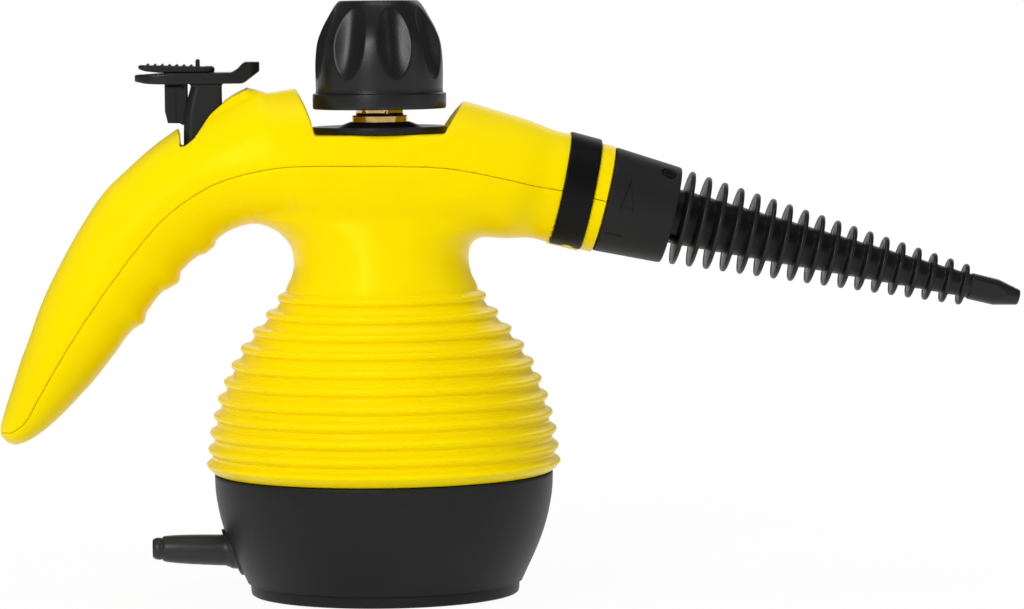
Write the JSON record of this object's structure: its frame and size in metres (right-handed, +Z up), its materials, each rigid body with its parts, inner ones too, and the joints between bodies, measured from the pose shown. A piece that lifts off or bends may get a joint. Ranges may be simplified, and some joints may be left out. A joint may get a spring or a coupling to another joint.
{
  "type": "steam cleaner",
  "caption": "Hand-held steam cleaner with a ribbed round yellow housing, arched handle, thumb lever with sliding lock, screwed safety cap and a ribbed black hose on its spout",
  "frame": {"origin": "on the standing surface, at the centre of the foot ring, under the axis of the safety cap", "axes": "+X towards the hose, -X towards the handle, +Y away from the side that the picture shows, +Z up"},
  "size_m": [0.4048, 0.1398, 0.2338],
  "materials": {
    "yellow_plastic": "moulded yellow plastic with a soft gloss",
    "black_plastic": "satin charcoal black moulded plastic",
    "deep_black_plastic": "smooth deep black plastic",
    "black_rubber": "flexible black rubber",
    "brass": "turned brass, slightly dull",
    "steel": "bright steel",
    "cast_aluminium": "die-cast aluminium",
    "silicone": "red-brown silicone rubber",
    "ceramic": "off-white heat-resistant moulding"
  },
  "bodies": {
    "housing": {"base_shell": "black_plastic", "base_plate": "black_plastic", "base_screw_1": "steel", "base_screw_2": "steel", "base_screw_3": "steel", "cord_sleeve": "black_rubber", "terminal_block": "ceramic", "lower_housing": "yellow_plastic", "top_cover": "yellow_plastic", "boiler_lower": "cast_aluminium", "boiler_gasket": "silicone", "boiler_upper": "cast_aluminium", "heating_element": "steel", "thermostat": "ceramic", "thermal_fuse": "ceramic", "filler_neck": "brass", "filler_tray": "deep_black_plastic", "steam_valve_body": "brass", "steam_pipe_in": "steel", "steam_pipe_out": "steel", "steam_outlet": "brass", "nozzle_band": "deep_black_plastic", "trigger_pin": "steel"},
    "trigger": {"trigger_lever": "black_plastic"},
    "lock": {"lock_slider": "black_plastic"},
    "valve": {"valve_stem": "steel", "valve_spring": "steel"},
    "cap_carrier": {"neck_seal": "silicone"},
    "cap_nose_seal": {"cap_gasket": "silicone"},
    "cap_plug_body": {"cap_plug": "brass", "cap_spring": "steel"},
    "cap_knob": {"cap_shell": "black_plastic", "cap_retainer": "deep_black_plastic"},
    "hose_seal": {"connector_seal": "silicone"},
    "hose": {"hose_connector": "black_plastic", "connector_screw": "steel", "hose_cover": "black_rubber", "hose_inner_tube": "silicone", "hose_tip": "black_plastic"}
  },
  "joints": [
    {"name": "trigger_press", "type": "hinge", "parent": "housing", "child": "trigger", "pos_m": [-0.0584, 0, 0.189], "axis": [0, -1, 0], "range_deg": [0, 5], "stiffness_Nm_per_rad": 1.5},
    {"name": "lock_slide", "type": "slide", "parent": "trigger", "child": "lock", "axis": [1, 0, 0], "range_m": [0, 0.005]},
    {"name": "valve_slide", "type": "slide", "parent": "housing", "child": "valve", "axis": [0, 0, -1], "range_m": [0, 0.0015], "deforming": ["valve_spring"]},
    {"name": "cap_lift", "type": "slide", "parent": "housing", "child": "cap_carrier", "axis": [0, 0, 1], "range_m": [0, 0.05]},
    {"name": "cap_rise", "type": "slide", "parent": "cap_carrier", "child": "cap_nose_seal", "axis": [0, 0, 1], "range_m": [0, 0.0061]},
    {"name": "cap_turn", "type": "hinge", "parent": "cap_nose_seal", "child": "cap_plug_body", "pos_m": [0, 0, 0.19], "axis": [0, 0, 1], "range_deg": [0, 1440]},
    {"name": "cap_press", "type": "slide", "parent": "cap_plug_body", "child": "cap_knob", "axis": [0, 0, -1], "range_m": [0, 0.0025], "stiffness_N_per_m": 3000, "springref_m": -0.002, "deforming": ["cap_spring"]},
    {"name": "hose_pull", "type": "slide", "parent": "housing", "child": "hose_seal", "axis": [0.9703, 0, -0.2419], "range_m": [0, 0.045]},
    {"name": "hose_twist", "type": "hinge", "parent": "hose_seal", "child": "hose", "pos_m": [0.0712, 0, 0.1585], "axis": [0.9703, 0, -0.2419], "range_deg": [0, 60]}
  ],
  "couplings": [
    {"joint": "valve_slide", "follows": "trigger_press", "m_per_rad": 0.0161},
    {"joint": "cap_rise", "follows": "cap_turn", "m_per_rad": 0.00023873}
  ]
}
